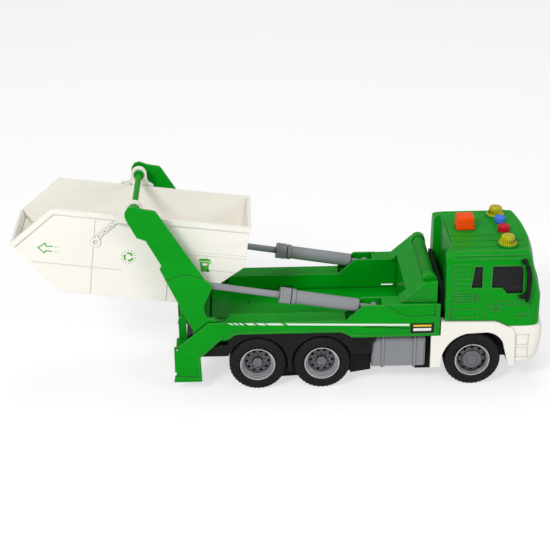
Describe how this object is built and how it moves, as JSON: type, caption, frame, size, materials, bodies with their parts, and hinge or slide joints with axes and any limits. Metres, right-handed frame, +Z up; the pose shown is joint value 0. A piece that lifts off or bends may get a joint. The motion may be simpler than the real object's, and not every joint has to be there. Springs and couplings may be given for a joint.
{
  "type": "toy skip loader truck",
  "caption": "Plastic toy skip loader with a hollow cab, open bed, lifting arms, sliding cylinders, a crossbar and a tipping waste skip, on free-rolling axles.",
  "frame": {"origin": "centre of the model's bounding box in plan, on the ground", "axes": "+X forward, +Y to the left, +Z up"},
  "size_m": [0.4734, 0.121, 0.1806],
  "materials": {
    "green_plastic": "moulded, semi-gloss",
    "white_plastic": "moulded, semi-gloss",
    "grey_plastic": "moulded, satin",
    "hub_plastic": "moulded, satin",
    "black_plastic": "moulded, satin",
    "tyre_rubber": "soft rubber",
    "dark_glazing": "smoked, glossy",
    "orange_plastic": "gloss",
    "blue_plastic": "gloss",
    "red_plastic": "gloss",
    "beacon_plastic": "clear yellow, gloss",
    "axle_steel": "drawn wire",
    "lens_plastic": "clear, gloss"
  },
  "bodies": {
    "chassis": {"bed_floor": "green_plastic", "headboard": "green_plastic", "cab_shell": "green_plastic", "cab_base": "white_plastic", "cab_glazing": "dark_glazing", "grille": "green_plastic", "chassis_frame": "black_plastic", "drive_block": "black_plastic", "button_orange": "orange_plastic", "button_blue": "blue_plastic", "button_red": "red_plastic", "beacon_right": "beacon_plastic", "beacon_left": "beacon_plastic", "headlamp_right": "lens_plastic", "headlamp_left": "lens_plastic", "fog_lamp_right": "lens_plastic", "fog_lamp_left": "lens_plastic", "side_box_right": "green_plastic", "side_box_left": "green_plastic", "mirror_right": "black_plastic", "mirror_left": "black_plastic", "side_tank_right": "grey_plastic", "side_tank_left": "grey_plastic", "mudguard_right": "black_plastic", "mudguard_left": "black_plastic", "arch_liner_right": "black_plastic", "arch_liner_left": "black_plastic"},
    "wheels_front": {"axle_front": "axle_steel", "tyre_front_right": "tyre_rubber", "tyre_front_left": "tyre_rubber", "hub_front_right": "hub_plastic", "hub_front_left": "hub_plastic"},
    "wheels_mid": {"axle_mid": "axle_steel", "tyre_mid_right": "tyre_rubber", "tyre_mid_left": "tyre_rubber", "hub_mid_right": "hub_plastic", "hub_mid_left": "hub_plastic"},
    "wheels_rear": {"axle_rear": "axle_steel", "tyre_rear_right": "tyre_rubber", "tyre_rear_left": "tyre_rubber", "hub_rear_right": "hub_plastic", "hub_rear_left": "hub_plastic"},
    "arms": {"lift_arm_right": "green_plastic", "lift_arm_left": "green_plastic", "crossbar": "green_plastic"},
    "barrel_right": {"barrel_right": "grey_plastic"},
    "rod_right": {"rod_right": "grey_plastic"},
    "barrel_left": {"barrel_left": "grey_plastic"},
    "rod_left": {"rod_left": "grey_plastic"},
    "skip": {"skip_body": "white_plastic"}
  },
  "joints": [
    {"name": "front_wheels_turn", "type": "hinge", "parent": "chassis", "child": "wheels_front", "pos_m": [0.17065, 0, 0.0255], "axis": [0, 1, 0], "continuous": true},
    {"name": "mid_wheels_turn", "type": "hinge", "parent": "chassis", "child": "wheels_mid", "pos_m": [0.03515, 0, 0.0255], "axis": [0, 1, 0], "continuous": true},
    {"name": "rear_wheels_turn", "type": "hinge", "parent": "chassis", "child": "wheels_rear", "pos_m": [-0.02255, 0, 0.0255], "axis": [0, 1, 0], "continuous": true},
    {"name": "arm_lift", "type": "hinge", "parent": "chassis", "child": "arms", "pos_m": [-0.06735, 0, 0.061], "axis": [0, 1, 0], "range_deg": [-45, 65]},
    {"name": "skip_hang", "type": "hinge", "parent": "arms", "child": "skip", "pos_m": [-0.12685, 0, 0.1735], "axis": [0, 1, 0], "range_deg": [-65.5, 45.5]},
    {"name": "barrel_right_tilt", "type": "hinge", "parent": "chassis", "child": "barrel_right", "pos_m": [0.08165, -0.0474, 0.0765], "axis": [0, 1, 0], "range_deg": [-1.04, 1.28]},
    {"name": "rod_right_slide", "type": "slide", "parent": "barrel_right", "child": "rod_right", "axis": [0.9856, 0, -0.1691], "range_m": [-0.02956, 0.04248]},
    {"name": "barrel_left_tilt", "type": "hinge", "parent": "chassis", "child": "barrel_left", "pos_m": [0.08165, 0.0474, 0.0765], "axis": [0, 1, 0], "range_deg": [-1.04, 1.28]},
    {"name": "rod_left_slide", "type": "slide", "parent": "barrel_left", "child": "rod_left", "axis": [0.9856, 0, -0.1691], "range_m": [-0.02956, 0.04248]}
  ],
  "couplings": [
    {"joint": "skip_hang", "follows": "arm_lift", "ratio": -1},
    {"joint": "barrel_right_tilt", "follows": "arm_lift", "ratio": 0.012},
    {"joint": "rod_right_slide", "follows": "arm_lift", "m_per_rad": 0.037},
    {"joint": "barrel_left_tilt", "follows": "arm_lift", "ratio": 0.012},
    {"joint": "rod_left_slide", "follows": "arm_lift", "m_per_rad": 0.037}
  ]
}
